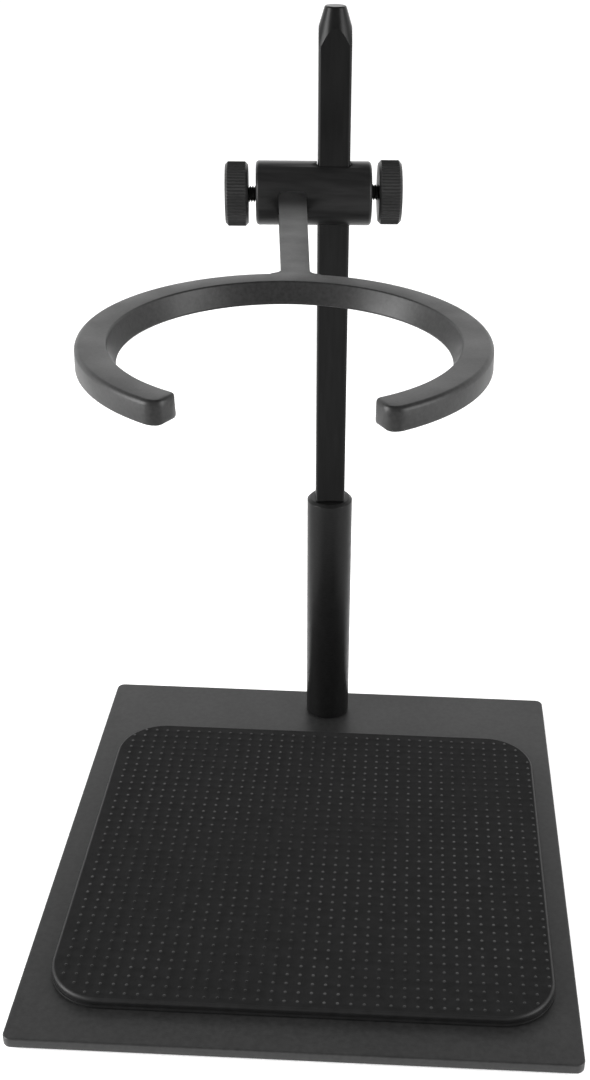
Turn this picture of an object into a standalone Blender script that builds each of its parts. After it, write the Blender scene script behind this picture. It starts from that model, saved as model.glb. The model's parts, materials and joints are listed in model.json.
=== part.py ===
"""Pour-over coffee stand: steel plate, round post, square bar, a sliding clamp block,
an open ring on an arm, and a dotted rubber mat.  Metres, +Z up, front towards -Y."""
import math

import bmesh
import bpy
from mathutils import Matrix

# ---- driving dimensions ------------------------------------------------------------
FIT_GAP = 0.0003            # clearance between pieces that touch
CUT_REACH = 0.0010          # how far a cutter runs past the face it opens

FOOT_RADIUS = 0.0065
FOOT_THICKNESS = 0.0010
FOOT_INSET = 0.016          # foot centre from the plate's edges

PLATE_WIDTH = 0.1650
PLATE_DEPTH = 0.1816
PLATE_THICKNESS = 0.0033
PLATE_CORNER = 0.0026
PLATE_EDGE = 0.0004
PLATE_CENTRE_Y = 0.0028     # puts the middle of the whole part, ring included, on the origin

MAT_WIDTH = 0.1506
MAT_DEPTH = 0.1386
MAT_THICKNESS = 0.0033
MAT_CORNER = 0.0170
MAT_SHOULDER = 0.0012
MAT_OFFSET_X = 0.0009
MAT_OFFSET_Y = -0.0087      # from the plate's centre

COLUMN_BACK = 0.0802        # column axis behind the plate's centre
COLUMN_SIDE = -0.0002
COLUMN_YAW = math.radians(5.0)
POST_RADIUS = 0.0079
POST_CHAMFER = 0.0010
POST_TOP = 0.0933           # above the plate's underside
BAR_WIDTH = 0.0100
BAR_CORNER = 0.0010
BAR_TOP = 0.2556            # above the plate's underside
BAR_TIP_RADIUS = 0.0032
BAR_TIP_LENGTH = 0.0109
BAR_CORNER_REACH = 0.00665  # half the bar's rounded diagonal

STUD_RADIUS = 0.0025
STUD_LENGTH = 0.0280
POST_SCREW_RADIUS = 0.0030
POST_SCREW_LENGTH = 0.0200
POST_SCREW_HEAD_RADIUS = 0.0058
POST_SCREW_HEAD_SINK = 0.0002       # head's face above the plate's underside
POST_SCREW_HEAD_HEIGHT = 0.0025
HEX_SOCKET_RADIUS = 0.0022
HEX_SOCKET_DEPTH = 0.0020
BORE_CLEARANCE = 0.0003

BLOCK_RADIUS = 0.0098
BLOCK_LEFT = 0.02435        # from the bar's axis to the block's left end
BLOCK_RIGHT = 0.01175
BLOCK_FORWARD = 0.0015      # block axis in front of the bar's axis
BLOCK_HEIGHT = 0.2003       # block axis above the plate's underside
BLOCK_ROUND = 0.0011
BAR_SLOT = 0.0106
ARM_SLOT_WIDTH = 0.0086
ARM_SLOT_SHIFT = 0.0001     # slot's middle to the right of the arm's axis
ARM_SLOT_TOP = 0.00275      # slot's upper and lower faces from the block's axis
ARM_SLOT_BOTTOM = 0.00484
SLOT_ROUND = 0.0012

SCREW_RADIUS = 0.00245
SCREW_CHAMFER = 0.0003
SCREW_SINK = 0.0050         # how far a clamp screw runs into its knob
PAD_LENGTH = 0.0015
PAD_RADIUS = 0.0022
KNOB_RADIUS = 0.00985
KNOB_LENGTH = 0.0072
KNOB_CHAMFER = 0.0009
RIGHT_KNOB_START = 0.0141   # inner faces of the knobs from the bar's axis
LEFT_KNOB_START = 0.0268
ARM_SCREW_DROP = 0.0008     # left screw's axis below the block's, level with the arm

ARM_OFFSET = -0.0131        # arm axis to the left of the bar's axis
ARM_WIDTH = 0.0080
ARM_FRONT_WIDTH = 0.0076    # where the arm meets the ring
ARM_FRONT_SHIFT = 0.0004
ARM_CHAMFER = 0.0009
ARM_REAR = 0.0105           # arm's back end behind the bar's axis
ARM_STOP_START = 0.0085     # its wider end starts here, behind the block
ARM_STOP_HALF = 0.0052
ARM_FLARE = 0.0030          # fillet between the arm and the band
ARM_FLARE_SINK = 0.0003     # how far the fillet's end lies inside the band's rim
ARM_STEP = 0.00003          # arm's upper and lower faces inside the band's
RING_BOTTOM = 0.19576       # above the plate's underside
RING_TOP = 0.20148
RING_CENTRE = (-0.01548, -0.13526)      # from the bar's axis, in the column's own frame
RING_TOP_OUTER = 0.04890
RING_TOP_INNER = 0.04140
RING_BOTTOM_OUTER = 0.04900
RING_BOTTOM_INNER = 0.03955
RING_AXIS_TURN = math.radians(-3.6)     # from the arm's line to the ring's line of symmetry
MOUTH_HALF_ANGLE = math.radians(30.1)
RING_END_OUTER = 0.0026     # corner rounding of the ring's two ends, seen from above
RING_END_INNER = 0.0015
RING_END_HEEL = 0.0044      # the same at the band's lower inner edge
RING_END_EDGE = 0.0007      # and of their upper and lower edges
RING_EDGE_SMALL = 0.0006    # rounding along the band: three edges and the upper outer one
RING_EDGE_LARGE = 0.0012
RING_STEPS = 96
ARC_STEPS = 4
END_STEPS = 6

ROUND_SIDES = 48
SMALL_SIDES = 32            # on the thin round pieces and their bores


# ---- helpers -----------------------------------------------------------------------
def clear_scene():
    for old in list(bpy.data.objects):
        bpy.data.objects.remove(old, do_unlink=True)


def new_collection(name):
    made = bpy.data.collections.new(name)
    bpy.context.scene.collection.children.link(made)
    return made


def material(name, colour, roughness, metallic):
    made = bpy.data.materials.new(name)
    made.use_nodes = True
    shader = made.node_tree.nodes["Principled BSDF"]
    shader.inputs["Base Color"].default_value = (*colour, 1.0)
    shader.inputs["Roughness"].default_value = roughness
    shader.inputs["Metallic"].default_value = metallic
    made.diffuse_color = (*colour, 1.0)
    return made


def object_from(bm, name, collection, finish=None, parent=None):
    bmesh.ops.recalc_face_normals(bm, faces=bm.faces)
    mesh = bpy.data.meshes.new(name)
    bm.to_mesh(mesh)
    bm.free()
    made = bpy.data.objects.new(name, mesh)
    collection.objects.link(made)
    if finish:
        mesh.materials.append(finish)
    made.parent = parent
    return made


def box_mesh(size, centre=(0.0, 0.0, 0.0)):
    bm = bmesh.new()
    bmesh.ops.create_cube(bm, size=1.0)
    bmesh.ops.scale(bm, vec=size, verts=bm.verts)
    bmesh.ops.translate(bm, vec=centre, verts=bm.verts)
    return bm


def rod_mesh(radius, start, end, axis="Z", sides=ROUND_SIDES, end_radius=None):
    """A cylinder or cone along one axis, from start to end on it."""
    bm = bmesh.new()
    last = radius if end_radius is None else end_radius
    bmesh.ops.create_cone(bm, cap_ends=True, segments=sides, radius1=radius, radius2=last,
                          depth=end - start)
    bmesh.ops.translate(bm, vec=(0, 0, (start + end) / 2), verts=bm.verts)
    if axis == "X":
        bmesh.ops.rotate(bm, verts=bm.verts, matrix=Matrix.Rotation(math.pi / 2, 3, "Y"))
    return bm


def add_bevel(target, width, segments=2, angle=50):
    bevel = target.modifiers.new("rounded edges", "BEVEL")
    bevel.width = width
    bevel.segments = segments
    bevel.limit_method = "ANGLE"
    bevel.angle_limit = math.radians(angle)
    return bevel


def cut(target, cutter, operation="DIFFERENCE"):
    boolean = target.modifiers.new(operation.lower(), "BOOLEAN")
    boolean.operation = operation
    boolean.solver = "EXACT"
    boolean.object = cutter
    cutter.hide_render = True
    cutter.display_type = "WIRE"
    return boolean


def round_upright_edges(bm, radius, segments):
    upright = [edge for edge in bm.edges
               if abs(edge.verts[0].co.z - edge.verts[1].co.z) > 1e-6]
    bmesh.ops.bevel(bm, geom=upright, offset=radius, offset_type="OFFSET",
                    segments=segments, profile=0.5, affect="EDGES")


def empty(name, location, collection, parent=None, yaw=0.0):
    made = bpy.data.objects.new(name, None)
    made.location = location
    made.rotation_euler = (0.0, 0.0, yaw)
    made.parent = parent
    collection.objects.link(made)
    return made


# ---- plate, feet and mat -----------------------------------------------------------
def build_plate(parts, cutters, steel):
    bm = box_mesh((PLATE_WIDTH, PLATE_DEPTH, PLATE_THICKNESS), (0, 0, PLATE_THICKNESS / 2))
    round_upright_edges(bm, PLATE_CORNER, 5)
    plate = object_from(bm, "base_plate", parts, steel)
    plate.location = (0, PLATE_CENTRE_Y, FOOT_THICKNESS)
    add_bevel(plate, PLATE_EDGE)
    sink_radius = POST_SCREW_HEAD_RADIUS + BORE_CLEARANCE
    hole_radius = POST_SCREW_RADIUS + BORE_CLEARANCE
    flare = (sink_radius - hole_radius) / PLATE_THICKNESS * CUT_REACH
    sink = rod_mesh(sink_radius + flare, -CUT_REACH, PLATE_THICKNESS + CUT_REACH,
                    end_radius=hole_radius - flare)
    countersink = object_from(sink, "plate_countersink", cutters)
    countersink.location = (COLUMN_SIDE, PLATE_CENTRE_Y + COLUMN_BACK, FOOT_THICKNESS)
    cut(plate, countersink)


def build_feet(parts, rubber):
    reach_x = PLATE_WIDTH / 2 - FOOT_INSET
    reach_y = PLATE_DEPTH / 2 - FOOT_INSET
    for end, side_y in (("front", -1), ("rear", 1)):
        for hand, side_x in (("left", -1), ("right", 1)):
            pad = rod_mesh(FOOT_RADIUS, 0.0, FOOT_THICKNESS - FIT_GAP, sides=SMALL_SIDES)
            foot = object_from(pad, f"foot_{end}_{hand}", parts, rubber)
            foot.location = (side_x * reach_x, PLATE_CENTRE_Y + side_y * reach_y, 0.0)


def build_mat(parts, silicone):
    bm = box_mesh((MAT_WIDTH, MAT_DEPTH, MAT_THICKNESS), (0, 0, MAT_THICKNESS / 2))
    round_upright_edges(bm, MAT_CORNER, 10)
    mat = object_from(bm, "drip_mat", parts, silicone)
    resting = FOOT_THICKNESS + PLATE_THICKNESS + FIT_GAP
    mat.location = (MAT_OFFSET_X, PLATE_CENTRE_Y + MAT_OFFSET_Y, resting)
    add_bevel(mat, MAT_SHOULDER, 3)


# ---- column ------------------------------------------------------------------------
def build_post(parts, cutters, steel, column):
    foot_z = PLATE_THICKNESS + FIT_GAP
    post = object_from(rod_mesh(POST_RADIUS, foot_z, POST_TOP), "post", parts, steel, column)
    add_bevel(post, POST_CHAMFER, 1)
    screw_bore = rod_mesh(POST_SCREW_RADIUS + BORE_CLEARANCE, 0.0,
                          POST_SCREW_LENGTH + CUT_REACH)
    stud_bore = rod_mesh(STUD_RADIUS + BORE_CLEARANCE, POST_TOP - STUD_LENGTH / 2 - CUT_REACH,
                         POST_TOP + CUT_REACH)
    for name, bm in (("post_screw_bore", screw_bore), ("post_stud_bore", stud_bore)):
        cut(post, object_from(bm, name, cutters, parent=column))


def build_post_screw(parts, cutters, zinc, column):
    shank = rod_mesh(POST_SCREW_RADIUS, 0.0, POST_SCREW_LENGTH)
    screw = object_from(shank, "post_screw", parts, zinc, column)
    head = rod_mesh(POST_SCREW_HEAD_RADIUS, POST_SCREW_HEAD_SINK,
                    POST_SCREW_HEAD_SINK + POST_SCREW_HEAD_HEIGHT, end_radius=POST_SCREW_RADIUS)
    cut(screw, object_from(head, "post_screw_head", cutters, parent=column), "UNION")
    socket = rod_mesh(HEX_SOCKET_RADIUS, -CUT_REACH, HEX_SOCKET_DEPTH, sides=6)
    cut(screw, object_from(socket, "post_screw_socket", cutters, parent=column))


def build_stud(parts, zinc, column):
    rod = rod_mesh(STUD_RADIUS, POST_TOP - STUD_LENGTH / 2, POST_TOP + STUD_LENGTH / 2)
    object_from(rod, "bar_stud", parts, zinc, column)


def build_bar(parts, cutters, steel, column):
    bottom = POST_TOP + FIT_GAP
    bm = box_mesh((BAR_WIDTH, BAR_WIDTH, BAR_TOP - bottom), (0, 0, (BAR_TOP + bottom) / 2))
    round_upright_edges(bm, BAR_CORNER, 4)
    bar = object_from(bm, "square_bar", parts, steel, column)
    slope = (BAR_CORNER_REACH - BAR_TIP_RADIUS) / BAR_TIP_LENGTH
    full_z = BAR_TOP - (BAR_WIDTH - BAR_TIP_RADIUS) / slope
    envelope = rod_mesh(BAR_WIDTH, full_z, BAR_TOP + CUT_REACH, sides=2 * ROUND_SIDES,
                        end_radius=BAR_TIP_RADIUS - slope * CUT_REACH)
    lower = [vert for vert in envelope.verts if vert.co.z < full_z + FIT_GAP]
    face = next(face for face in envelope.faces if all(vert in lower for vert in face.verts))
    grown = bmesh.ops.extrude_discrete_faces(envelope, faces=[face])
    bmesh.ops.translate(envelope, vec=(0, 0, bottom - CUT_REACH - full_z),
                        verts=grown["faces"][0].verts)
    cut(bar, object_from(envelope, "bar_tip_envelope", cutters, parent=column), "INTERSECT")
    bore = rod_mesh(STUD_RADIUS + BORE_CLEARANCE, bottom - CUT_REACH,
                    POST_TOP + STUD_LENGTH / 2 + CUT_REACH)
    cut(bar, object_from(bore, "bar_stud_bore", cutters, parent=column))


# ---- clamp block and its screws ----------------------------------------------------
def build_block(parts, cutters, steel, clamp):
    """The clamp empty stands on the bar's axis at the block's height."""
    bm = rod_mesh(BLOCK_RADIUS, -BLOCK_LEFT, BLOCK_RIGHT, axis="X", sides=64)
    bmesh.ops.translate(bm, vec=(0, -BLOCK_FORWARD, 0), verts=bm.verts)
    block = object_from(bm, "clamp_block", parts, steel, clamp)
    add_bevel(block, BLOCK_ROUND, 3)

    through = 3 * BLOCK_RADIUS
    bar_slot = box_mesh((BAR_SLOT, BAR_SLOT, through))
    round_upright_edges(bar_slot, SLOT_ROUND, 3)
    slot_height = ARM_SLOT_TOP + ARM_SLOT_BOTTOM
    arm_slot = box_mesh((ARM_SLOT_WIDTH, slot_height, through))
    round_upright_edges(arm_slot, SLOT_ROUND, 3)
    bmesh.ops.rotate(arm_slot, verts=arm_slot.verts, matrix=Matrix.Rotation(math.pi / 2, 3, "X"))
    bmesh.ops.translate(arm_slot, verts=arm_slot.verts,
                        vec=(ARM_OFFSET + ARM_SLOT_SHIFT, 0,
                             (ARM_SLOT_TOP - ARM_SLOT_BOTTOM) / 2))
    bore_radius = SCREW_RADIUS + BORE_CLEARANCE
    right_bore = rod_mesh(bore_radius, 0.0, BLOCK_RIGHT + CUT_REACH, axis="X",
                          sides=SMALL_SIDES)
    left_bore = rod_mesh(bore_radius, -BLOCK_LEFT - CUT_REACH, ARM_OFFSET, axis="X",
                         sides=SMALL_SIDES)
    bmesh.ops.translate(left_bore, vec=(0, 0, -ARM_SCREW_DROP), verts=left_bore.verts)
    for name, cutter in (("bar_slot", bar_slot), ("arm_slot", arm_slot),
                         ("height_screw_bore", right_bore), ("arm_screw_bore", left_bore)):
        cut(block, object_from(cutter, name, cutters, parent=clamp))


def build_clamp_screw(label, parts, cutters, finishes, axis, side, face, knob_start):
    """One clamp screw: a pad that presses on `face`, the threaded rod and its knob.
    side is 1 for the right-hand screw and -1 for the left-hand one."""
    zinc, black = finishes

    def place(bm, name, collection, finish=None):
        if side < 0:
            bmesh.ops.rotate(bm, verts=bm.verts, matrix=Matrix.Rotation(math.pi, 3, "Z"))
        return object_from(bm, name, collection, finish, axis)

    pad_start = face + FIT_GAP
    screw_start = pad_start + PAD_LENGTH + FIT_GAP
    screw_end = knob_start + SCREW_SINK
    pad = rod_mesh(PAD_RADIUS, pad_start, pad_start + PAD_LENGTH, axis="X", sides=SMALL_SIDES)
    place(pad, f"{label}_pad", parts, zinc)
    rod = place(rod_mesh(SCREW_RADIUS, screw_start, screw_end, axis="X", sides=SMALL_SIDES),
                f"{label}_screw", parts, black)
    add_bevel(rod, SCREW_CHAMFER, 1)
    knob_end = knob_start + KNOB_LENGTH
    knob = place(rod_mesh(KNOB_RADIUS, knob_start, knob_end, axis="X", sides=60),
                 f"{label}_knob", parts, black)
    add_bevel(knob, KNOB_CHAMFER, 2)
    socket = rod_mesh(SCREW_RADIUS + BORE_CLEARANCE, knob_start - CUT_REACH,
                      screw_end + BORE_CLEARANCE, axis="X", sides=SMALL_SIDES)
    cut(knob, place(socket, f"{label}_knob_bore", cutters))


# ---- ring and arm ------------------------------------------------------------------
def arc(centre, radius, start, end, steps=ARC_STEPS):
    turn = (end - start) / steps
    return [(centre[0] + radius * math.cos(start + turn * i),
             centre[1] + radius * math.sin(start + turn * i)) for i in range(steps + 1)]


def ring_section(outer_inset, inner_inset, heel_inset, edge_inset):
    """Rounded outline of the ring's band as (radius, height), drawn in at the ring's ends."""
    low, high = RING_BOTTOM + edge_inset, RING_TOP - edge_inset
    inner_low, inner_high = RING_BOTTOM_INNER + heel_inset, RING_TOP_INNER + inner_inset
    outer_low, outer_high = RING_BOTTOM_OUTER - outer_inset, RING_TOP_OUTER - outer_inset
    small, large = RING_EDGE_SMALL, RING_EDGE_LARGE
    quarter = math.pi / 2
    return (arc((inner_low + small, low + small), small, 2 * quarter, 3 * quarter)
            + arc((outer_low - small, low + small), small, 3 * quarter, 4 * quarter)
            + arc((outer_high - large, high - large), large, 0, quarter)
            + arc((inner_high + small, high - small), small, quarter, 2 * quarter))


def ring_stations():
    """Angles along the band from one end of the mouth to the other, each with its insets."""
    mean = (RING_TOP_OUTER + RING_BOTTOM_INNER) / 2
    span = 2 * math.pi - 2 * MOUTH_HALF_ANGLE

    def inset(radius, along):
        inside = max(0.0, radius - along)
        return radius - math.sqrt(radius ** 2 - inside ** 2)

    ends = []
    for i in range(END_STEPS + 1):
        along = RING_END_HEEL * (1 - math.cos(i / END_STEPS * math.pi / 2))
        insets = [inset(radius, along)
                  for radius in (RING_END_OUTER, RING_END_INNER, RING_END_HEEL, RING_END_EDGE)]
        ends.append((along / mean, insets))
    edge = ends[-1][0]
    middle = [(edge + (span - 2 * edge) * i / RING_STEPS, (0.0, 0.0, 0.0, 0.0))
              for i in range(1, RING_STEPS)]
    far = [(span - angle, insets) for angle, insets in reversed(ends)]
    return ends + middle + far


def build_ring_mesh():
    bm = bmesh.new()
    first_angle = -math.pi / 2 + MOUTH_HALF_ANGLE
    loops = []
    for angle, insets in ring_stations():
        turn = first_angle + angle
        loops.append([bm.verts.new((radius * math.cos(turn), radius * math.sin(turn), height))
                      for radius, height in ring_section(*insets)])
    count = len(loops[0])
    for near, far in zip(loops, loops[1:]):
        for i in range(count):
            bm.faces.new((near[i], near[(i + 1) % count], far[(i + 1) % count], far[i]))
    bm.faces.new(list(reversed(loops[0])))
    bm.faces.new(loops[-1])
    bmesh.ops.rotate(bm, verts=bm.verts, matrix=Matrix.Rotation(RING_AXIS_TURN, 3, "Z"))
    bmesh.ops.translate(bm, vec=(*RING_CENTRE, 0), verts=bm.verts)
    return bm


def arm_outline():
    """Plan outline of the arm, with a fillet on each side where it runs into the band."""
    half = ARM_FRONT_WIDTH / 2
    front_x = ARM_OFFSET + ARM_FRONT_SHIFT
    lateral = front_x - RING_CENTRE[0]
    buried = RING_CENTRE[1] + (RING_TOP_OUTER + RING_TOP_INNER) / 2
    sides = []
    for hand in (-1, 1):
        corner = lateral + hand * (half + ARM_FLARE)
        rim = RING_CENTRE[1] + math.sqrt(RING_TOP_OUTER ** 2 - corner ** 2)
        middle = (front_x + hand * (half + ARM_FLARE), rim + ARM_FLARE - ARM_FLARE_SINK)
        inner = math.pi if hand > 0 else 0.0
        sweep = arc(middle, ARM_FLARE, inner, 1.5 * math.pi if hand > 0 else -0.5 * math.pi)
        edge, stop = ARM_OFFSET + hand * ARM_WIDTH / 2, ARM_OFFSET + hand * ARM_STOP_HALF
        sides.append([(stop, ARM_REAR), (stop, ARM_STOP_START), (edge, ARM_STOP_START)]
                     + sweep + [(middle[0], buried)])
    return sides[0] + list(reversed(sides[1]))


def build_ring_holder(parts, cutters, steel, column):
    """The arm is the base object and the band is joined to it."""
    bm = bmesh.new()
    bottom = [bm.verts.new((x, y, RING_BOTTOM + ARM_STEP)) for x, y in arm_outline()]
    face = bm.faces.new(bottom)
    grown = bmesh.ops.extrude_face_region(bm, geom=[face])
    raised = [item for item in grown["geom"] if isinstance(item, bmesh.types.BMVert)]
    bmesh.ops.translate(bm, vec=(0, 0, RING_TOP - RING_BOTTOM - 2 * ARM_STEP), verts=raised)
    holder = object_from(bm, "ring_holder", parts, steel, column)
    add_bevel(holder, ARM_CHAMFER, 2, angle=60)
    band = object_from(build_ring_mesh(), "ring_band", cutters, parent=column)
    cut(holder, band, "UNION")


# ---- assembly ----------------------------------------------------------------------
def main():
    clear_scene()
    parts = new_collection("pour_over_stand")
    cutters = new_collection("cutters")
    coated = material("black_powder_coat", (0.030, 0.030, 0.031), 0.55, 0.0)
    blackened = material("black_satin_steel", (0.022, 0.022, 0.023), 0.38, 0.4)
    cast = material("black_cast_metal", (0.040, 0.040, 0.040), 0.60, 0.2)
    black_thread = material("black_thread_steel", (0.018, 0.018, 0.018), 0.45, 0.5)
    zinc = material("zinc_plated_steel", (0.55, 0.55, 0.54), 0.35, 1.0)
    silicone = material("black_silicone", (0.018, 0.018, 0.019), 0.65, 0.0)
    rubber = material("black_rubber", (0.020, 0.020, 0.020), 0.80, 0.0)

    build_plate(parts, cutters, coated)
    build_feet(parts, rubber)
    build_mat(parts, silicone)

    column_spot = (COLUMN_SIDE, PLATE_CENTRE_Y + COLUMN_BACK, FOOT_THICKNESS)
    column = empty("column_axis", column_spot, parts, yaw=COLUMN_YAW)
    build_post(parts, cutters, blackened, column)
    build_post_screw(parts, cutters, zinc, column)
    build_stud(parts, zinc, column)
    build_bar(parts, cutters, blackened, column)
    build_ring_holder(parts, cutters, cast, column)

    clamp = empty("clamp_axis", (0, 0, BLOCK_HEIGHT), parts, parent=column)
    lower = empty("arm_screw_axis", (0, 0, -ARM_SCREW_DROP), parts, parent=clamp)
    build_block(parts, cutters, blackened, clamp)
    build_clamp_screw("height", parts, cutters, (zinc, black_thread), clamp, 1,
                      BAR_WIDTH / 2, RIGHT_KNOB_START)
    build_clamp_screw("arm", parts, cutters, (zinc, black_thread), lower, -1,
                      ARM_WIDTH / 2 - ARM_OFFSET, LEFT_KNOB_START)


main()
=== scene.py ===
"""Looks of the pour-over coffee stand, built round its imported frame.
Metres, +Z up, front towards -Y."""
import json
import math

import bmesh
import bpy
from mathutils import Matrix, Vector
from mathutils.geometry import delaunay_2d_cdt


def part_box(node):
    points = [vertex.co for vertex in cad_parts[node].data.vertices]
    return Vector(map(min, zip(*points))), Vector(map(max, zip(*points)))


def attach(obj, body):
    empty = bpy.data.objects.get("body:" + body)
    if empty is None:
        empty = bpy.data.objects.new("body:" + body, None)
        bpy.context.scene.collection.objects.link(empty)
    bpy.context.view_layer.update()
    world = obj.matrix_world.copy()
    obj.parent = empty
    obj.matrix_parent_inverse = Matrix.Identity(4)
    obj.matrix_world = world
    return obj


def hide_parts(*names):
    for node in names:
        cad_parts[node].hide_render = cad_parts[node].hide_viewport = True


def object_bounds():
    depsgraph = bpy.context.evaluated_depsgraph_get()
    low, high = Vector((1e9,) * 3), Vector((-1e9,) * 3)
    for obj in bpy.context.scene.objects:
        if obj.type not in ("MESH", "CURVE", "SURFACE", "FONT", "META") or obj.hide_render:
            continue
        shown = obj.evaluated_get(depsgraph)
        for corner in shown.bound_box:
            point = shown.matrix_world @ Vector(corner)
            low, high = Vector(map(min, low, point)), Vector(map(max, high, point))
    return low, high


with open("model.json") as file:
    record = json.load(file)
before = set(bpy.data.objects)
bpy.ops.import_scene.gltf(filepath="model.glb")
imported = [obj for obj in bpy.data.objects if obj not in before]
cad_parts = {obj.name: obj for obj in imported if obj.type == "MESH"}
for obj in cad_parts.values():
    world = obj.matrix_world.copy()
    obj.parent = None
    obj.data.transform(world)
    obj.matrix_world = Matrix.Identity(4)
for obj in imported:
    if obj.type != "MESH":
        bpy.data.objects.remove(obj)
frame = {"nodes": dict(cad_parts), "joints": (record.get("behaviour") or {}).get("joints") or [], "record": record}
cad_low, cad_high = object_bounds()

# ---- camera ------------------------------------------------------------------------
CAMERA_PLACE = (0.0241, -0.37594, 0.3205)
CAMERA_TURN = (60.3276, -1.1271, 2.423)         # degrees about X, Y and Z
CAMERA_LENS = 48.3274
CAMERA_SHIFT = (-0.056713, 0.041084)
SENSOR_HEIGHT = 36.0

# ---- plate, feet and mat -----------------------------------------------------------
PLATE_CORNER = 0.0026
PLATE_EDGE = 0.00045
FOOT_EDGE = 0.00025
FOOT_STEPS = 64
SINK_RADIUS = 0.0061        # countersink in the plate for the post's screw
SINK_BOTTOM_RADIUS = 0.0033
SINK_REACH = 0.0002         # how far the countersink's cutter runs past the plate

MAT_CORNER = 0.0170
MAT_LIP = 0.00045           # how far the lower lip stands out from the mat's wall
MAT_LIP_HEIGHT = 0.0007
MAT_LIP_EDGE = 0.0001       # small slopes at the lip's upper and lower edges
MAT_SHOULDER = 0.0012
MAT_SHOULDER_STEPS = 6
MAT_CORNER_STEPS = 16
MAT_ANGLE = math.radians(40)
NUB_PITCH = (0.003871, 0.003537)
NUB_SHIFT = (-0.00054, 0.00110)     # the middle nub from the mat's centre
NUB_COUNT = 19                      # nubs on each side of the middle one
NUB_RADIUS = 0.00075
NUB_HEIGHT = 0.00028
NUB_CLEAR = 0.00085         # nearest a nub's centre comes to the wall's line, with its height
NUB_SIDES = 12
NUB_RINGS = (1.0, 0.72, 0.40)       # a nub's rings, as shares of its radius
NUB_POWER = 1.5                     # shape of the dome, with a soft foot

# ---- column ------------------------------------------------------------------------
POST_CHAMFER = 0.0010
EDGE_BREAK = 0.00018        # small rounding on turned and milled edges
BORE_REACH = 0.001          # how far a bore's cutter runs past the face it opens
BORE_STEPS = 48
POST_SCREW_BORE = 0.0033
POST_SCREW_DEPTH = 0.018
BAR_CORNER = 0.0010
BAR_SIDE_STEPS = 10         # points along each of the bar's four sides
BAR_TIP_RADIUS = 0.0032
BAR_TIP_LENGTH = 0.0109
BAR_CORNER_REACH = 0.00665  # half the bar's rounded diagonal
STUD_BORE = 0.0028
STUD_DEPTH = 0.0151         # of the stud's bore in the post
STUD_DEPTH_LESS = 0.001     # how much shallower it is in the bar

# ---- clamp -------------------------------------------------------------------------
BLOCK_ROUND = 0.0011
BLOCK_STEPS = 144
BAR_SLOT = 0.0106
ARM_SLOT_WIDTH = 0.0086
ARM_SLOT_SHIFT = 0.0001     # slot's middle to the right of the arm's axis
ARM_SLOT_TOP = 0.00275      # slot's upper and lower faces from the block's axis
ARM_SLOT_BOTTOM = 0.00484
SLOT_ROUND = 0.0012
SLOT_EDGE = 0.00022
SLOT_ANGLE = math.radians(40)
SCREW_BORE = 0.00275
ARM_SCREW_DROP = 0.0008     # left screw's axis below the block's
THREAD_PITCH = 0.0008
THREAD_DEPTH = 0.00045
THREAD_SHAPE = (0.0, 0.55, 1.0, 1.0, 0.55, 0.0)     # one pitch, from root to crest and back
THREAD_STEPS = 36
THREAD_ANGLE = math.radians(50)
KNOB_CHAMFER = 0.0009
KNOB_BORE_SPARE = 0.0003    # between the screw's end and the bottom of the knob's bore
KNURL_RIDGES = 60
KNURL_DEPTH = 0.00028
KNURL_SAMPLES = 6           # points on each ridge
KNURL_ANGLE = math.radians(24)

# ---- ring and arm ------------------------------------------------------------------
ARM_OFFSET = -0.0131        # arm's axis to the left of the bar's axis
ARM_WIDTH = 0.0080
ARM_FRONT_WIDTH = 0.0076
ARM_FRONT_SHIFT = 0.0004
ARM_EDGE = 0.0009
ARM_STOP_DEPTH = 0.0020     # the wider back end, which stops the arm at full reach
ARM_STOP_HALF = 0.0052
ARM_FLARE = 0.0030          # fillet between the arm and the band
ARM_FLARE_SINK = 0.0003     # how far the fillet's end lies inside the band's rim
ARM_STEP = 0.00001          # arm's upper and lower faces inside the band's
RING_TOP_OUTER = 0.04890
RING_TOP_INNER = 0.04140
RING_BOTTOM_OUTER = 0.04900
RING_BOTTOM_INNER = 0.03955
RING_AXIS_TURN = math.radians(-3.6)     # from the arm's line to the ring's line of symmetry
MOUTH_HALF_ANGLE = math.radians(30.1)
RING_END_OUTER = 0.0034     # corner rounding of the ring's two ends, seen from above
RING_END_INNER = 0.0019
RING_END_HEEL = 0.0044      # the same at the band's lower inner edge
RING_END_EDGE = 0.0010      # and of their upper and lower edges
RING_EDGE_SMALL = 0.0006    # rounding along the band: three edges and the upper outer one
RING_EDGE_LARGE = 0.0012
RING_STEPS = 220
END_STEPS = 10

# ---- setting -----------------------------------------------------------------------
FLOOR_RADIUS = 6.0
FLOOR_GLOW = 0.36           # lifts the floor to an even white
STUDIO_BACK = 1.9           # brightness of the surround
STUDIO_TOP = 0.34
STUDIO_FRONT = 0.85
STUDIO_TURN = (-0.45, 0.60)         # where it goes from front to back, along Y
STUDIO_RISE = (0.45, 0.76)          # and from the sides to overhead, along Z
LAMP_PLACE = (1.05, -0.38, 0.42)    # of the right softbox, and the left one mirrors it
LAMP_SIZE = (0.55, 0.80)
LEFT_LAMP_POWER = 26.0
RIGHT_LAMP_POWER = 15.0

# ---- finishes ----------------------------------------------------------------------
NOISE_SPREAD = 0.18         # half the span of noise values that a finish makes use of
# spread of the uneven patches where the nub tips carry a painted highlight
PAINTED_GLINT_SPREAD = 0.12
SHOULDER_GLOSS_DEPTH = 0.00016      # the mat's shoulder shines from here down
FLAT_MATT_DEPTH = 0.00002           # and its flat is fully matt from here up
NUB_FOOT_DEPTH = 0.8        # a nub's matt foot and shiny tip below its top, in heights; they also bound the painted highlight on the tips
NUB_TIP_DEPTH = 0.1
MATT, SHOULDER_GLOSS, NUB_GLOSS = 0.98, 0.50, 0.16      # roughness
MIX_FACTOR, MIX_A, MIX_B, MIX_RESULT = 0, 6, 7, 2       # sockets of a colour Mix node

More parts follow.
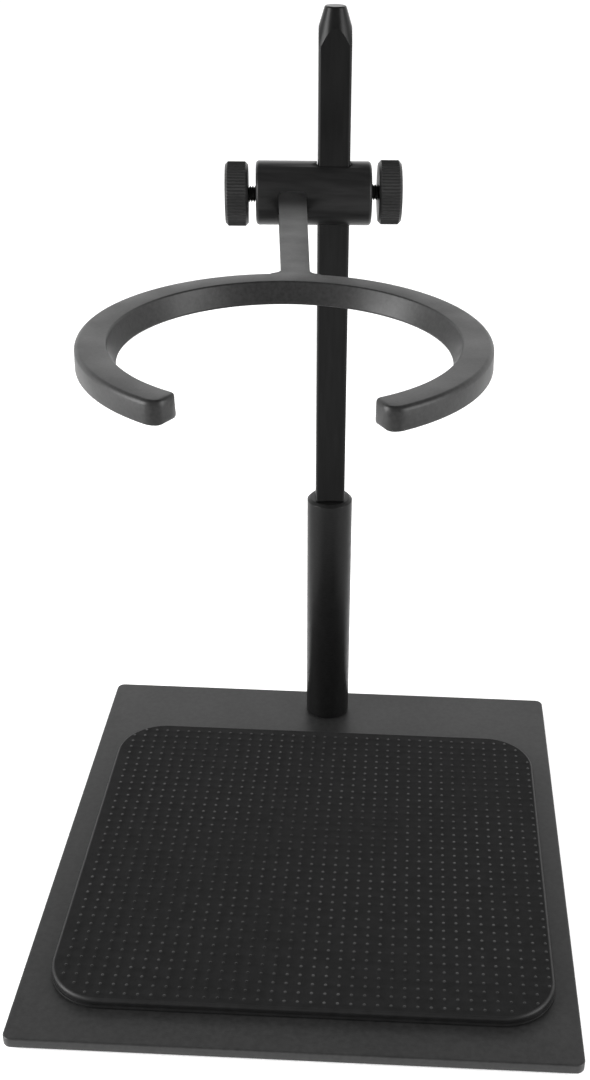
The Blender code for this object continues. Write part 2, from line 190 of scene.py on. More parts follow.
# ---- meshing -----------------------------------------------------------------------
ROUND_STEPS = 128
SMOOTH_ANGLE = math.radians(32)     # edges that turn by more than this look sharp
FINE_ANGLE = math.radians(10)
WELD = 1e-7                 # points nearer than this are one
CUT_WELD = 1e-6             # the same after a cut


# ---- the frame ---------------------------------------------------------------------
def column_frame():
    """The column's own frame: its axis, turned so that the arm points along -Y."""
    reach = next(j for j in frame["joints"] if j["name"] == "arm_reach")["axis"]
    low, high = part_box("post")
    middle = (low + high) / 2
    turn = Matrix.Rotation(math.atan2(reach[0], -reach[1]), 4, "Z")
    return Matrix.Translation((middle.x, middle.y, 0)) @ turn


COLUMN = column_frame()


def column_box(node):
    """A CAD node's lowest and highest corners in the column's own frame."""
    back = COLUMN.inverted()
    points = [back @ vertex.co for vertex in frame["nodes"][node].data.vertices]
    low = Vector([min(point[i] for point in points) for i in range(3)])
    high = Vector([max(point[i] for point in points) for i in range(3)])
    return low, high


# ---- mesh tools --------------------------------------------------------------------
def piece(name, bm, finish, body, nodes, place=Matrix(), sharp=SMOOTH_ANGLE):
    """A finished piece in the row frame, in place of the CAD nodes that it details."""
    bmesh.ops.transform(bm, matrix=place, verts=bm.verts)
    bmesh.ops.recalc_face_normals(bm, faces=bm.faces)
    mesh = bpy.data.meshes.new(name)
    bm.to_mesh(mesh)
    bm.free()
    mesh.shade_smooth()
    mesh.set_sharp_from_angle(angle=sharp)
    mesh.materials.append(finish)
    made = bpy.data.objects.new(name, mesh)
    bpy.context.scene.collection.objects.link(made)
    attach(made, body)
    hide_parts(*nodes)


def skin(loops):
    """A closed surface through loops of equal length, capped at both ends."""
    bm = bmesh.new()
    rows = [[bm.verts.new(point) for point in loop] for loop in loops]
    count = len(rows[0])
    for low, high in zip(rows, rows[1:]):
        for i in range(count):
            nxt = (i + 1) % count
            bm.faces.new((low[i], low[nxt], high[nxt], high[i]))
    bm.faces.new(list(reversed(rows[0])))
    bm.faces.new(rows[-1])
    return bm


def circle(radius, height, steps=ROUND_STEPS, axis="Z"):
    """Points round the Z or X axis, at a height along it."""
    points = []
    for i in range(steps):
        turn = 2 * math.pi * i / steps
        across, up = radius * math.cos(turn), radius * math.sin(turn)
        points.append((across, up, height) if axis == "Z" else (height, across, up))
    return points


def rounded(corners, radius, steps=3):
    """A profile with each of its inner corners turned into an arc."""
    points = [Vector(corners[0])]
    for before, corner, after in zip(corners, corners[1:], corners[2:]):
        corner = Vector(corner)
        back = (Vector(before) - corner).normalized()
        ahead = (Vector(after) - corner).normalized()
        half = back.angle(ahead) / 2
        centre = corner + (back + ahead).normalized() * radius / math.sin(half)
        start = corner + back * radius / math.tan(half) - centre
        end = corner + ahead * radius / math.tan(half) - centre
        first = math.atan2(start.y, start.x)
        sweep = math.remainder(math.atan2(end.y, end.x) - first, 2 * math.pi)
        for i in range(steps + 1):
            turn = first + sweep * i / steps
            points.append(centre + radius * Vector((math.cos(turn), math.sin(turn))))
    return points + [Vector(corners[-1])]


def turned(profile, steps=ROUND_STEPS, axis="Z"):
    """A closed turned shape from (radius, height) points, first and last at its flat ends."""
    return skin([circle(radius, height, steps, axis) for radius, height in profile])


def rounded_rectangle(width, depth, radius, height, steps=12):
    """Points round a rectangle with arcs of `steps` segments at its corners."""
    points = []
    for quarter, (side_x, side_y) in enumerate(((1, 1), (-1, 1), (-1, -1), (1, -1))):
        for i in range(steps + 1):
            turn = (quarter + i / steps) * math.pi / 2
            points.append((side_x * (width / 2 - radius) + radius * math.cos(turn),
                           side_y * (depth / 2 - radius) + radius * math.sin(turn), height))
    return points


def bore(radius, start, end, axis="Z"):
    """A plain round cutter along the Z or X axis."""
    return turned([(radius, start), (radius, end)], BORE_STEPS, axis)


def moved(bm, matrix):
    """The same mesh, transformed in place."""
    bmesh.ops.transform(bm, matrix=matrix, verts=bm.verts)
    return bm


def combined(base, others, operation="DIFFERENCE"):
    """base cut by, or joined to, each of the others."""
    helpers = []
    for index, bm in enumerate([base, *others]):
        bmesh.ops.recalc_face_normals(bm, faces=bm.faces)
        mesh = bpy.data.meshes.new(f"helper_{index}")
        bm.to_mesh(mesh)
        bm.free()
        helper = bpy.data.objects.new(f"helper_{index}", mesh)
        bpy.context.scene.collection.objects.link(helper)
        helpers.append(helper)
    for helper in helpers[1:]:
        boolean = helpers[0].modifiers.new("boolean", "BOOLEAN")
        boolean.operation = operation
        boolean.solver = "EXACT"
        boolean.object = helper
    result = bmesh.new()
    result.from_object(helpers[0], bpy.context.evaluated_depsgraph_get())
    for helper in helpers:
        mesh = helper.data
        bpy.data.objects.remove(helper)
        bpy.data.meshes.remove(mesh)
    return result


def bevel(bm, geometry, width, segments):
    """Rounds these edges with an even bevel."""
    bmesh.ops.bevel(bm, geom=geometry, offset=width, offset_type="OFFSET", segments=segments,
                    profile=0.5, affect="EDGES", clamp_overlap=True)


def soften(bm, width, angle):
    """Rounds the edges that turn by more than angle."""
    bmesh.ops.remove_doubles(bm, verts=bm.verts, dist=CUT_WELD)
    edges = [edge for edge in bm.edges
             if len(edge.link_faces) == 2 and edge.calc_face_angle() > angle]
    bevel(bm, edges, width, segments=2)


# ---- materials ---------------------------------------------------------------------
def remapped(tree, source, start, end, low, high, kind="LINEAR"):
    """A node that takes the values from start to end to the values from low to high."""
    remap = tree.nodes.new("ShaderNodeMapRange")
    remap.interpolation_type = kind
    remap.inputs["From Min"].default_value = start
    remap.inputs["From Max"].default_value = end
    remap.inputs["To Min"].default_value = low
    remap.inputs["To Max"].default_value = high
    tree.links.new(source, remap.inputs["Value"])
    return remap


class Finish:
    """A Principled material whose colour, roughness and surface come from noise in the
    piece's own coordinates."""

    def __init__(self, name, specular, metallic=0.0):
        self.material = bpy.data.materials.new(name)
        self.material.use_nodes = True
        self.tree = self.material.node_tree
        self.shader = self.tree.nodes["Principled BSDF"]
        self.shader.inputs["Metallic"].default_value = metallic
        self.shader.inputs["Specular IOR Level"].default_value = specular
        self.place = self.tree.nodes.new("ShaderNodeTexCoord").outputs["Object"]
        self.normal = None

    def noise(self, size, detail, stretch=(1, 1, 1)):
        """Noise whose features are about `size` metres across."""
        mapping = self.tree.nodes.new("ShaderNodeMapping")
        mapping.inputs["Scale"].default_value = [1 / (size * s) for s in stretch]
        self.tree.links.new(self.place, mapping.inputs["Vector"])
        noise = self.tree.nodes.new("ShaderNodeTexNoise")
        noise.inputs["Scale"].default_value = 1.0
        noise.inputs["Detail"].default_value = detail
        self.tree.links.new(mapping.outputs["Vector"], noise.inputs["Vector"])
        return noise.outputs["Fac"]

    def ramp(self, source, low, high, spread=NOISE_SPREAD):
        """Colours from low to high across the middle of the noise."""
        ramp = self.tree.nodes.new("ShaderNodeValToRGB")
        ramp.color_ramp.elements[0].position = 0.5 - spread
        ramp.color_ramp.elements[0].color = (*low, 1)
        ramp.color_ramp.elements[1].position = 0.5 + spread
        ramp.color_ramp.elements[1].color = (*high, 1)
        self.tree.links.new(source, ramp.inputs["Fac"])
        return ramp.outputs["Color"]

    def colour(self, source, low, high):
        self.tree.links.new(self.ramp(source, low, high), self.shader.inputs["Base Color"])

    def roughness(self, source, low, high):
        remap = remapped(self.tree, source, 0.5 - NOISE_SPREAD, 0.5 + NOISE_SPREAD, low, high)
        self.tree.links.new(remap.outputs["Result"], self.shader.inputs["Roughness"])

    def height_value(self, stops):
        """A value that changes with height, through stops of (height, value)."""
        split = self.tree.nodes.new("ShaderNodeSeparateXYZ")
        self.tree.links.new(self.place, split.inputs["Vector"])
        result = None
        for (start, before), (end, after) in zip(stops, stops[1:]):
            remap = remapped(self.tree, split.outputs["Z"], start, end, before, after)
            if result:
                self.tree.links.new(result, remap.inputs["To Min"])
            result = remap.outputs["Result"]
        return result

    def roughness_by_height(self, stops):
        self.tree.links.new(self.height_value(stops), self.shader.inputs["Roughness"])

    def tint_by_height(self, stops, tint):
        """Blends the colour towards a tint with height."""
        colour = self.shader.inputs["Base Color"]
        mix = self.tree.nodes.new("ShaderNodeMix")
        mix.data_type = "RGBA"
        self.tree.links.new(self.height_value(stops), mix.inputs[MIX_FACTOR])
        self.tree.links.new(colour.links[0].from_socket, mix.inputs[MIX_A])
        self.tree.links.new(tint, mix.inputs[MIX_B])
        self.tree.links.new(mix.outputs[MIX_RESULT], colour)

    def bump(self, source, depth, strength):
        """A bump of this depth in metres, on top of any made before it."""
        bump = self.tree.nodes.new("ShaderNodeBump")
        bump.inputs["Strength"].default_value = strength
        bump.inputs["Distance"].default_value = depth
        self.tree.links.new(source, bump.inputs["Height"])
        if self.normal:
            self.tree.links.new(self.normal, bump.inputs["Normal"])
        self.normal = bump.outputs["Normal"]
        self.tree.links.new(self.normal, self.shader.inputs["Normal"])


def grey(value, blue=1.0):
    """A grey colour, with its blue part scaled."""
    return (value, value, value * blue)


def coated(name, specular, grain, colours, patches, roughness, texture, depth, strength=0.5,
           metallic=0.0, stretch=(1, 1, 1)):
    """A finish with fine grain in its colour, broader patches in its roughness and a bumpy
    texture. Each of these noises is (size, detail)."""
    finish = Finish(name, specular, metallic)
    finish.colour(finish.noise(*grain, stretch), *colours)
    finish.roughness(finish.noise(*patches, stretch), *roughness)
    finish.bump(finish.noise(*texture, stretch), depth, strength)
    return finish


def powder_coat():
    return coated("powder_coat", specular=0.32, grain=(0.0016, 4),
                  colours=(grey(0.010), grey(0.016)), patches=(0.022, 3),
                  roughness=(0.38, 0.46), texture=(0.00055, 3), depth=0.00003).material


def satin_black(name, dark, light, stretch):
    return coated(name, specular=0.12, grain=(0.0012, 3), colours=(grey(dark), grey(light)),
                  patches=(0.009, 3), roughness=(0.30, 0.38), texture=(0.00022, 2),
                  depth=0.000012, stretch=stretch).material


def cast_black():
    finish = coated("cast_black", specular=0.21, grain=(0.0009, 4),
                    colours=(grey(0.007), grey(0.014)), patches=(0.010, 3),
                    roughness=(0.38, 0.46), texture=(0.00040, 4), depth=0.00003)
    finish.bump(finish.noise(0.0060, 2), 0.00006, 0.3)
    return finish.material


def oxide_black():
    return coated("oxide_black", specular=0.16, grain=(0.0008, 3),
                  colours=(grey(0.010), grey(0.016)), patches=(0.004, 3),
                  roughness=(0.34, 0.46), texture=(0.00018, 2), depth=0.000010).material


def silicone():
    """Matt rubber, shinier on its rounded shoulder and on the tips of its nubs. The nub tips also carry a painted
    highlight, a lighter grey in uneven patches."""
    finish = Finish("silicone", specular=0.22)
    finish.colour(finish.noise(0.0030, 5), grey(0.0015), grey(0.004, 1.03))
    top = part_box("drip_mat")[1].z
    flat = top - NUB_HEIGHT
    foot, tip = top - NUB_FOOT_DEPTH * NUB_HEIGHT, top - NUB_TIP_DEPTH * NUB_HEIGHT
    # Painted highlight: the nub tips are blended towards a lighter grey, in uneven patches, in place of glints.
    painted_glint = finish.ramp(finish.noise(0.036, 6), grey(0.003), grey(0.040), PAINTED_GLINT_SPREAD)
    finish.tint_by_height([(foot, 0.0), (tip, 1.0)], painted_glint)
    finish.roughness_by_height([(flat - SHOULDER_GLOSS_DEPTH, SHOULDER_GLOSS),
                                (flat - FLAT_MATT_DEPTH, MATT), (foot, MATT), (tip, NUB_GLOSS)])
    finish.bump(finish.noise(0.00030, 3), 0.00002, 0.5)
    return finish.material


def pad_rubber():
    return coated("pad_rubber", specular=0.2, grain=(0.0010, 3),
                  colours=(grey(0.012), grey(0.024)), patches=(0.003, 2),
                  roughness=(0.70, 0.85), texture=(0.00030, 3), depth=0.00004,
                  strength=0.6).material


def zinc_plate():
    return coated("zinc_plate", specular=0.5, grain=(0.0015, 4),
                  colours=(grey(0.50, 1.03), grey(0.62)), patches=(0.0012, 3),
                  roughness=(0.26, 0.42), texture=(0.00025, 2), depth=0.00001,
                  metallic=1.0).material


# ---- plate, feet and mat -----------------------------------------------------------
def make_plate(finish):
    """The plate with rounded edges and a countersunk hole under the post."""
    low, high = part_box("base_plate")
    size = high - low
    middle = (low + high) / 2
    profile = rounded([(2 * PLATE_EDGE, 0), (0, 0), (0, size.z), (2 * PLATE_EDGE, size.z)],
                      PLATE_EDGE, steps=5)
    loops = [rounded_rectangle(size.x - 2 * inset, size.y - 2 * inset, PLATE_CORNER - inset,
                               height) for inset, height in profile]
    slope = (SINK_RADIUS - SINK_BOTTOM_RADIUS) / size.z
    sink = turned([(SINK_RADIUS + slope * SINK_REACH, -SINK_REACH),
                   (SINK_BOTTOM_RADIUS - slope * SINK_REACH, size.z + SINK_REACH)])
    place = Matrix.Translation((middle.x, middle.y, low.z))
    axis = place.inverted() @ COLUMN.translation
    moved(sink, Matrix.Translation((axis.x, axis.y, 0)))
    piece("steel_plate", combined(skin(loops), [sink]), finish, "stand", ["base_plate"],
          place)


def make_feet(finish):
    for end in ("front", "rear"):
        for hand in ("left", "right"):
            node = f"foot_{end}_{hand}"
            low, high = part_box(node)
            radius, height = (high.x - low.x) / 2, high.z - low.z
            profile = rounded([(radius - 2 * FOOT_EDGE, 0), (radius, 0), (radius, height),
                               (radius - 2 * FOOT_EDGE, height)], FOOT_EDGE)
            place = Matrix.Translation(((low.x + high.x) / 2, (low.y + high.y) / 2, low.z))
            piece(f"pad_{end}_{hand}", turned(profile, FOOT_STEPS), finish, "stand", [node],
                  place)


def nub_shape(share):
    """Height of a low dome with a soft foot, at a share of its radius from the middle."""
    if share >= 1:
        return 0.0
    return math.cos(share * math.pi / 2) ** NUB_POWER


def make_mat(finish):
    """The mat's top is one plan of loops and nub rings, lifted to its heights. Its wall and
    lip are then extruded down from the rim."""
    low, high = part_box("drip_mat")
    size = high - low
    middle = (low + high) / 2
    half_x, half_y = size.x / 2 - MAT_LIP, size.y / 2 - MAT_LIP
    corner = MAT_CORNER - MAT_LIP
    flat = size.z - NUB_HEIGHT

    def wall_distance(x, y):
        """How far a point lies inside the wall's line."""
        over_x, over_y = abs(x) - half_x + corner, abs(y) - half_y + corner
        outside = math.hypot(max(over_x, 0), max(over_y, 0))
        return corner - outside - min(max(over_x, over_y), 0)

    def shoulder_drop(inside):
        """How far the rounded shoulder has dropped at this distance inside the wall."""
        away = max(0.0, MAT_SHOULDER - inside)
        return MAT_SHOULDER - math.sqrt(max(0.0, MAT_SHOULDER ** 2 - away ** 2))

    points, edges, nubs = [], [], {}

    def add_loop(loop):
        first = len(points)
        points.extend(loop)
        count = len(loop)
        edges.extend((first + i, first + (i + 1) % count) for i in range(count))

    for i in range(MAT_SHOULDER_STEPS + 1):
        inset = MAT_SHOULDER * (1 - math.cos(i / MAT_SHOULDER_STEPS * math.pi / 2))
        loop = rounded_rectangle(2 * (half_x - inset), 2 * (half_y - inset), corner - inset,
                                 0, MAT_CORNER_STEPS)
        add_loop([Vector(point[:2]) for point in loop])
    for row in range(-NUB_COUNT, NUB_COUNT + 1):
        for column in range(-NUB_COUNT, NUB_COUNT + 1):
            spot = Vector((NUB_SHIFT[0] + column * NUB_PITCH[0],
                           NUB_SHIFT[1] + row * NUB_PITCH[1]))
            if wall_distance(*spot) < NUB_CLEAR + NUB_HEIGHT:
                continue
            nubs[column, row] = spot
            points.append(spot)
            for share in NUB_RINGS:
                ring = circle(NUB_RADIUS * share, 0, NUB_SIDES)
                add_loop([spot + Vector(point[:2]) for point in ring])

    def height(x, y):
        z = flat - shoulder_drop(wall_distance(x, y))
        key = (round((x - NUB_SHIFT[0]) / NUB_PITCH[0]),
               round((y - NUB_SHIFT[1]) / NUB_PITCH[1]))
        if key in nubs:
            away = math.hypot(x - nubs[key].x, y - nubs[key].y)
            z += NUB_HEIGHT * nub_shape(away / NUB_RADIUS)
        return z

    plan, _, faces, *_ = delaunay_2d_cdt(points, edges, [], 0, WELD)
    bm = bmesh.new()
    verts = [bm.verts.new((x, y, height(x, y))) for x, y in plan]
    for face in faces:
        bm.faces.new([verts[i] for i in face])
    bmesh.ops.remove_doubles(bm, verts=bm.verts, dist=WELD)

    rim = [edge for edge in bm.edges if edge.is_boundary]
    wall = [(0.0, MAT_LIP_HEIGHT + MAT_LIP_EDGE), (-0.9 * MAT_LIP, MAT_LIP_HEIGHT),
            (-MAT_LIP, MAT_LIP_HEIGHT - MAT_LIP_EDGE), (-MAT_LIP, MAT_LIP_EDGE),
            (-MAT_LIP + MAT_LIP_EDGE, 0.0)]
    for inset, z in wall:
        grown = bmesh.ops.extrude_edge_only(bm, edges=rim)
        fresh = [item for item in grown["geom"] if isinstance(item, bmesh.types.BMVert)]
        rim = [item for item in grown["geom"] if isinstance(item, bmesh.types.BMEdge)
               and item.is_boundary]
        outer = corner - inset
        for vert in fresh:
            x, y = vert.co.x, vert.co.y
            base = Vector((math.copysign(max(0.0, abs(x) - half_x + corner), x),
                           math.copysign(max(0.0, abs(y) - half_y + corner), y)))
            core = Vector((x, y)) - base
            spread = base.normalized() * outer
            vert.co.x, vert.co.y = core.x + spread.x, core.y + spread.y
            vert.co.z = z
    bmesh.ops.contextual_create(bm, geom=rim)
    place = Matrix.Translation((middle.x, middle.y, low.z))
    piece("dotted_mat", bm, finish, "mat", ["drip_mat"], place, MAT_ANGLE)


# ---- column ------------------------------------------------------------------------
def make_post(finish):
    """The post, chamfered at both ends and bored for its screw and for the bar's stud."""
    low, high = column_box("post")
    radius = high.x
    chamfer = rounded([(radius, low.z), (radius, high.z - POST_CHAMFER),
                       (radius - POST_CHAMFER, high.z), (0.5 * radius, high.z)], EDGE_BREAK)
    foot = rounded([(0.5 * radius, low.z), (radius, low.z), (radius, low.z + POST_CHAMFER)],
                   EDGE_BREAK)
    body = turned(foot[:-1] + chamfer[1:])
    screw_bore = bore(POST_SCREW_BORE, low.z - BORE_REACH, low.z + POST_SCREW_DEPTH)
    stud_bore = bore(STUD_BORE, high.z - STUD_DEPTH, high.z + BORE_REACH)
    piece("round_post", combined(body, [screw_bore, stud_bore]), finish, "stand", ["post"],
          COLUMN)


def make_bar(finish):
    """A square bar with round corners whose top is turned to a cone: each point of the
    outline ends where the cone meets it. The cone's upper edge is rounded in three steps."""
    low, high = column_box("square_bar")
    width, top = high.x - low.x, high.z
    slope = (BAR_CORNER_REACH - BAR_TIP_RADIUS) / BAR_TIP_LENGTH
    outline = []
    corners = rounded_rectangle(width, width, BAR_CORNER, 0)
    for here, after in zip(corners, corners[1:] + corners[:1]):
        here, after = Vector(here), Vector(after)
        count = BAR_SIDE_STEPS if (after - here).length > width / 2 else 1
        outline += [here.lerp(after, i / count) for i in range(count)]

    def loop(radius_at, height_at):
        """The outline with each point's radius and height changed."""
        points = []
        for spot in outline:
            radius = radius_at(spot.length)
            scaled = spot * radius / spot.length
            points.append((scaled.x, scaled.y, height_at(spot.length)))
        return points

    def cone_height(radius):
        return top - (radius - BAR_TIP_RADIUS) / slope

    brk = EDGE_BREAK
    loops = [loop(lambda r: r - brk, lambda r: low.z),
             loop(lambda r: r, lambda r: low.z + brk),
             loop(lambda r: r, cone_height),
             loop(lambda r: BAR_TIP_RADIUS + slope * 2 * brk, lambda r: top - 2 * brk),
             loop(lambda r: BAR_TIP_RADIUS - 0.3 * brk, lambda r: top - 0.6 * brk),
             loop(lambda r: BAR_TIP_RADIUS - 1.5 * brk, lambda r: top)]
    stud_bore = bore(STUD_BORE, low.z - BORE_REACH, low.z + STUD_DEPTH - STUD_DEPTH_LESS)
    piece("machined_bar", combined(skin(loops), [stud_bore]), finish, "stand", ["square_bar"],
          COLUMN, FINE_ANGLE)


# ---- clamp block, screws and knobs -------------------------------------------------
def make_block(finish):
    """The block lies along X. The bar passes through it upright, the arm from front to back
    and the clamp screws from its two ends."""
    low, high = column_box("clamp_block")
    radius, height = (high.z - low.z) / 2, (high.z + low.z) / 2
    forward = (high.y + low.y) / 2
    ends = rounded([(radius / 2, low.x), (radius, low.x), (radius, high.x), (radius / 2, high.x)],
                   BLOCK_ROUND, steps=6)
    body = moved(turned(ends, BLOCK_STEPS, "X"), Matrix.Translation((0, forward, 0)))

    def slot(width, depth):
        """A cutter that runs right through the block."""
        return skin([rounded_rectangle(width, depth, SLOT_ROUND, z, steps=6)
                     for z in (-1.5 * radius, 1.5 * radius)])

    bar_slot = slot(BAR_SLOT, BAR_SLOT)
    arm_slot = slot(ARM_SLOT_WIDTH, ARM_SLOT_TOP + ARM_SLOT_BOTTOM)
    slot_middle = (ARM_OFFSET + ARM_SLOT_SHIFT, 0, (ARM_SLOT_TOP - ARM_SLOT_BOTTOM) / 2)
    moved(arm_slot, Matrix.Translation(slot_middle) @ Matrix.Rotation(math.pi / 2, 4, "X"))
    right_bore = bore(SCREW_BORE, 0.0, high.x + BORE_REACH, "X")
    left_bore = bore(SCREW_BORE, low.x - BORE_REACH, ARM_OFFSET, "X")
    moved(left_bore, Matrix.Translation((0, 0, -ARM_SCREW_DROP)))
    cut = combined(body, [bar_slot, arm_slot, right_bore, left_bore])
    soften(cut, SLOT_EDGE, SLOT_ANGLE)
    piece("round_block", cut, finish, "clamp", ["clamp_block"],
          COLUMN @ Matrix.Translation((0, 0, height)))


def threaded_rod(start, end, radius):
    """A rod along X with a helical thread: each row of points climbs one pitch a turn."""
    root = radius - THREAD_DEPTH
    rows = len(THREAD_SHAPE)
    turns = math.ceil((end - start) / THREAD_PITCH) + 2
    bm = bmesh.new()
    columns = []
    for j in range(THREAD_STEPS + 1):
        turn = 2 * math.pi * j / THREAD_STEPS
        column = []
        for i in range(turns * rows):
            x = start + (i / rows - 1 + j / THREAD_STEPS) * THREAD_PITCH
            r = root + THREAD_DEPTH * THREAD_SHAPE[i % rows]
            if not start < x < end:
                x, r = min(max(x, start), end), root
            column.append(bm.verts.new((x, r * math.cos(turn), r * math.sin(turn))))
        columns.append(column)
    for here, after in zip(columns, columns[1:]):
        for i in range(turns * rows - 1):
            bm.faces.new((here[i], here[i + 1], after[i + 1], after[i]))
    bmesh.ops.remove_doubles(bm, verts=bm.verts, dist=WELD)
    bmesh.ops.dissolve_degenerate(bm, edges=bm.edges, dist=WELD)
    bmesh.ops.holes_fill(bm, edges=[edge for edge in bm.edges if edge.is_boundary])
    return bm


def knurled_knob(start, end, radius, bore_end):
    """A knob along X: straight knurling whose grooves run out in the two chamfers."""
    face = radius - KNOB_CHAMFER
    count = KNURL_RIDGES * KNURL_SAMPLES

    def loop(point_at):
        points = []
        for k in range(count):
            groove = 1 - abs(2 * (k % KNURL_SAMPLES) / KNURL_SAMPLES - 1)
            x, r = point_at(radius - KNURL_DEPTH * groove)
            turn = 2 * math.pi * k / count
            points.append((x, r * math.cos(turn), r * math.sin(turn)))
        return points

    return skin([loop(lambda r: (bore_end, SCREW_BORE)),
                 loop(lambda r: (start, SCREW_BORE)),
                 loop(lambda r: (start, face)),
                 loop(lambda r: (start + r - face, r)),
                 loop(lambda r: (end - r + face, r)),
                 loop(lambda r: (end, face))])


def make_clamp_screw(label, hand, finish):
    """hand is 1 for the right-hand screw and -1 for the left-hand one."""
    screw_low, screw_high = column_box(f"{label}_screw")
    knob_low, knob_high = column_box(f"{label}_knob")
    height = (knob_low.z + knob_high.z) / 2
    flip = Matrix.Rotation(0 if hand > 0 else math.pi, 4, "Z")
    place = COLUMN @ Matrix.Translation((0, 0, height)) @ flip
    ends = {}
    for name, low, high in (("screw", screw_low, screw_high), ("knob", knob_low, knob_high)):
        ends[name] = (low.x, high.x) if hand > 0 else (-high.x, -low.x)
    body = f"{label}_knob"
    rod = threaded_rod(*ends["screw"], (screw_high.z - screw_low.z) / 2)
    piece(f"{label}_threaded_rod", rod, finish, body, [f"{label}_screw"],
          place, THREAD_ANGLE)
    knob = knurled_knob(*ends["knob"], (knob_high.z - knob_low.z) / 2,
                        ends["screw"][1] + KNOB_BORE_SPARE)
    piece(f"{label}_knurled_knob", knob, finish, body, [f"{label}_knob"],
          place, KNURL_ANGLE)


# ---- ring and arm ------------------------------------------------------------------
def arc(centre, radius, start, end, steps):
    """Points along an arc in a plane, between two angles."""
    turn = (end - start) / steps
    return [(centre[0] + radius * math.cos(start + turn * i),
             centre[1] + radius * math.sin(start + turn * i)) for i in range(steps + 1)]


def ring_section(bottom, top, outer_inset, inner_inset, heel_inset, edge_inset):
    """Rounded outline of the ring's band as (radius, height), drawn in at the ring's ends."""
    low, high = bottom + edge_inset, top - edge_inset
    inner_low, inner_high = RING_BOTTOM_INNER + heel_inset, RING_TOP_INNER + inner_inset
    outer_low, outer_high = RING_BOTTOM_OUTER - outer_inset, RING_TOP_OUTER - outer_inset
    small, large = RING_EDGE_SMALL, RING_EDGE_LARGE
    quarter = math.pi / 2
    return (arc((inner_low + small, low + small), small, 2 * quarter, 3 * quarter, 4)
            + arc((outer_low - small, low + small), small, 3 * quarter, 4 * quarter, 4)
            + arc((outer_high - large, high - large), large, 0, quarter, 8)
            + arc((inner_high + small, high - small), small, quarter, 2 * quarter, 4))


def ring_band(bottom, top, centre):
    """The open ring, swept round its centre, with both of its ends drawn in."""
    mean = (RING_TOP_OUTER + RING_BOTTOM_INNER) / 2
    span = 2 * math.pi - 2 * MOUTH_HALF_ANGLE
    first = -math.pi / 2 + MOUTH_HALF_ANGLE + RING_AXIS_TURN

    def inset(radius, along):
        """How far a corner of this radius has drawn in, at a distance along from the end."""
        inside = max(0.0, radius - along)
        return radius - math.sqrt(radius ** 2 - inside ** 2)

    ends = []
    for i in range(END_STEPS + 1):
        along = RING_END_HEEL * (1 - math.cos(i / END_STEPS * math.pi / 2))
        radii = (RING_END_OUTER, RING_END_INNER, RING_END_HEEL, RING_END_EDGE)
        ends.append((along / mean, [inset(radius, along) for radius in radii]))
    edge = ends[-1][0]
    middle = [(edge + (span - 2 * edge) * i / RING_STEPS, (0.0, 0.0, 0.0, 0.0))
              for i in range(1, RING_STEPS)]
    far = [(span - angle, insets) for angle, insets in reversed(ends)]
    loops = []
    for angle, insets in ends + middle + far:
        turn = first + angle
        loops.append([(centre.x + radius * math.cos(turn), centre.y + radius * math.sin(turn),
                       height) for radius, height in ring_section(bottom, top, *insets)])
    return skin(loops)


def arm_outline(centre, rear):
    """Plan outline of the arm, with a fillet on each side where it runs into the band."""
    half = ARM_FRONT_WIDTH / 2
    front_x = ARM_OFFSET + ARM_FRONT_SHIFT
    lateral = front_x - centre.x
    buried = centre.y + (RING_TOP_OUTER + RING_TOP_INNER) / 2
    sides = []
    for hand in (-1, 1):
        corner = lateral + hand * (half + ARM_FLARE)
        rim = centre.y + math.sqrt(RING_TOP_OUTER ** 2 - corner ** 2)
        middle = (front_x + hand * (half + ARM_FLARE), rim + ARM_FLARE - ARM_FLARE_SINK)
        start, end = (math.pi, 1.5 * math.pi) if hand > 0 else (0.0, -0.5 * math.pi)
        flare = arc(middle, ARM_FLARE, start, end, 10)
        edge, stop = ARM_OFFSET + hand * ARM_WIDTH / 2, ARM_OFFSET + hand * ARM_STOP_HALF
        step = rear - ARM_STOP_DEPTH
        sides.append([(stop, rear), (stop, step), (edge, step), *flare, (middle[0], buried)])
    return sides[0] + list(reversed(sides[1]))


def make_holder(finish):
    """The arm and the ring in one. The ring's centre is the middle of the opening that the
    record names."""
    low, high = column_box("ring_holder")
    openings = frame["record"]["physics"]["openings"]
    opening = next(entry for entry in openings if entry["name"] == "ring_inside")
    box_low, box_high = (Vector(corner) for corner in opening["box_m"])
    centre = COLUMN.inverted() @ ((box_low + box_high) / 2)
    arm = skin([[(x, y, z) for x, y in arm_outline(centre, high.y)]
                for z in (low.z + ARM_STEP, high.z - ARM_STEP)])
    level = [edge for edge in arm.edges
             if abs(edge.verts[0].co.z - edge.verts[1].co.z) < ARM_STEP]
    upright_rear = [edge for edge in arm.edges
                    if edge not in level and edge.verts[0].co.y > high.y - ARM_STEP]
    bevel(arm, level + upright_rear, ARM_EDGE, segments=4)
    holder = combined(arm, [ring_band(low.z, high.z, centre)], "UNION")
    piece("ring_and_arm", holder, finish, "holder", ["ring_holder"], COLUMN)


# ---- setting -----------------------------------------------------------------------
def make_floor():
    """A wide, pale floor with a slight glow of its own."""
    bm = bmesh.new()
    bmesh.ops.create_circle(bm, cap_ends=True, segments=96, radius=FLOOR_RADIUS)
    mesh = bpy.data.meshes.new("floor")
    bm.to_mesh(mesh)
    bm.free()
    floor = bpy.data.objects.new("floor", mesh)
    bpy.context.scene.collection.objects.link(floor)
    finish = Finish("pale_floor", specular=0.2)
    finish.colour(finish.noise(0.05, 2), grey(0.86), grey(0.88))
    finish.shader.inputs["Roughness"].default_value = 0.9
    finish.shader.inputs["Emission Color"].default_value = (1.0, 1.0, 1.0, 1.0)
    finish.shader.inputs["Emission Strength"].default_value = FLOOR_GLOW
    mesh.materials.append(finish.material)


